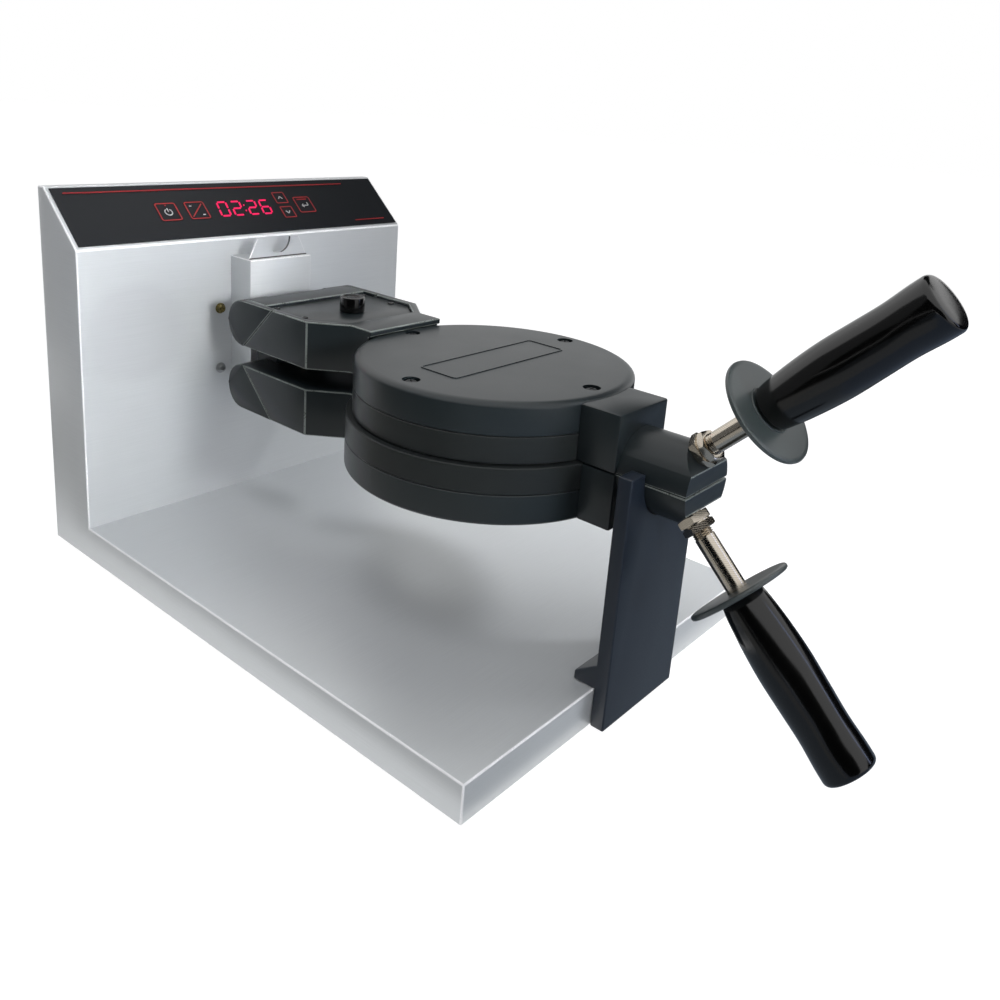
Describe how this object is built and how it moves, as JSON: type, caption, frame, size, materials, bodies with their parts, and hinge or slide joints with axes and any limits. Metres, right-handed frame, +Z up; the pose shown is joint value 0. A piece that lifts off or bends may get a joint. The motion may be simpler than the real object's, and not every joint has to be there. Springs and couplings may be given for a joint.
{
  "type": "flip waffle maker",
  "caption": "Countertop waffle maker: a round hinged baking head with slanted handles turns over in front of a steel tower with a control panel.",
  "frame": {"origin": "on the table, at the centre of the whole machine's footprint with its handles", "axes": "+Y to the tower at the back, +Z up, +X to the operator's right"},
  "size_m": [0.305, 0.5828, 0.2979],
  "materials": {
    "stainless": "fine satin brushing, unpainted",
    "zinc": "zinc plated",
    "rubber": "matte black",
    "overlay_film": "dark satin film with thin red lines",
    "key_film": "dark satin film with a red outline",
    "display_window": "dark red window",
    "circuit_board": "green solder resist",
    "inlet_plastic": "moulded black",
    "cast_coated": "casting under a satin black coating",
    "plate_coating": "dark non-stick coating on a casting",
    "bronze": "oiled sintered bronze",
    "nickel": "nickel plated steel",
    "post_paint": "satin black paint on steel",
    "sleeve": "woven glass fibre sleeve",
    "heater_sheath": "heat-tinted steel sheath",
    "mineral_fibre": "pressed mineral fibre board",
    "guard_disc": "satin black phenolic resin",
    "bakelite": "glossy black phenolic resin"
  },
  "bodies": {
    "base": {"housing": "stainless", "back_panel": "stainless", "bottom_plate": "zinc", "front_left_foot": "rubber", "front_right_foot": "rubber", "rear_left_foot": "rubber", "rear_right_foot": "rubber", "control_overlay": "overlay_film", "display_module": "display_window", "control_board": "circuit_board", "power_board": "circuit_board", "mains_inlet": "inlet_plastic", "bearing_bracket": "stainless", "bearing_housing": "cast_coated", "front_bush": "bronze", "rear_bush": "bronze", "left_low_bolt": "nickel", "left_high_bolt": "nickel", "right_low_bolt": "nickel", "right_high_bolt": "nickel", "post": "post_paint"},
    "flip_head": {"hub": "cast_coated", "flip_shaft": "nickel", "stop_cam": "zinc", "shaft_harness": "sleeve", "lower_plate": "plate_coating", "lower_heater": "heater_sheath", "lower_cover": "cast_coated", "lower_pad": "mineral_fibre", "lower_block": "cast_coated", "lower_handle_rod": "nickel", "lower_lock_nuts": "nickel", "lower_guard": "guard_disc", "lower_grip": "bakelite", "lower_arm": "cast_coated", "lower_arm_lid": "cast_coated", "lower_left_cap": "cast_coated", "lower_right_cap": "cast_coated", "lower_hinge_pin": "nickel", "lower_stud": "bakelite"},
    "lid": {"upper_plate": "plate_coating", "upper_heater": "heater_sheath", "upper_cover": "cast_coated", "upper_pad": "mineral_fibre", "upper_block": "cast_coated", "upper_handle_rod": "nickel", "upper_lock_nuts": "nickel", "upper_guard": "guard_disc", "upper_grip": "bakelite", "upper_arm": "cast_coated", "upper_arm_lid": "cast_coated", "upper_left_cap": "cast_coated", "upper_right_cap": "cast_coated", "upper_hinge_pin": "nickel", "upper_stud": "bakelite"},
    "power_button": {"power_key": "key_film"},
    "mode_button": {"mode_key": "key_film"},
    "up_button": {"up_key": "key_film"},
    "down_button": {"down_key": "key_film"},
    "enter_button": {"enter_key": "key_film"}
  },
  "joints": [
    {"name": "head_flip", "type": "hinge", "parent": "base", "child": "flip_head", "pos_m": [0, 0.23507, 0.1596], "axis": [0, 1, 0], "range_deg": [-180, 0]},
    {"name": "lid_hinge", "type": "hinge", "parent": "flip_head", "child": "lid", "pos_m": [0, 0.18907, 0.186], "axis": [-1, 0, 0], "range_deg": [0, 95]},
    {"name": "power_press", "type": "slide", "parent": "base", "child": "power_button", "axis": [0, 0.6585, -0.7526], "range_m": [0, 0.0008], "stiffness_N_per_m": 1500, "springref_m": -0.0003},
    {"name": "mode_press", "type": "slide", "parent": "base", "child": "mode_button", "axis": [0, 0.6585, -0.7526], "range_m": [0, 0.0008], "stiffness_N_per_m": 1500, "springref_m": -0.0003},
    {"name": "up_press", "type": "slide", "parent": "base", "child": "up_button", "axis": [0, 0.6585, -0.7526], "range_m": [0, 0.0008], "stiffness_N_per_m": 1500, "springref_m": -0.0003},
    {"name": "down_press", "type": "slide", "parent": "base", "child": "down_button", "axis": [0, 0.6585, -0.7526], "range_m": [0, 0.0008], "stiffness_N_per_m": 1500, "springref_m": -0.0003},
    {"name": "enter_press", "type": "slide", "parent": "base", "child": "enter_button", "axis": [0, 0.6585, -0.7526], "range_m": [0, 0.0008], "stiffness_N_per_m": 1500, "springref_m": -0.0003}
  ]
}
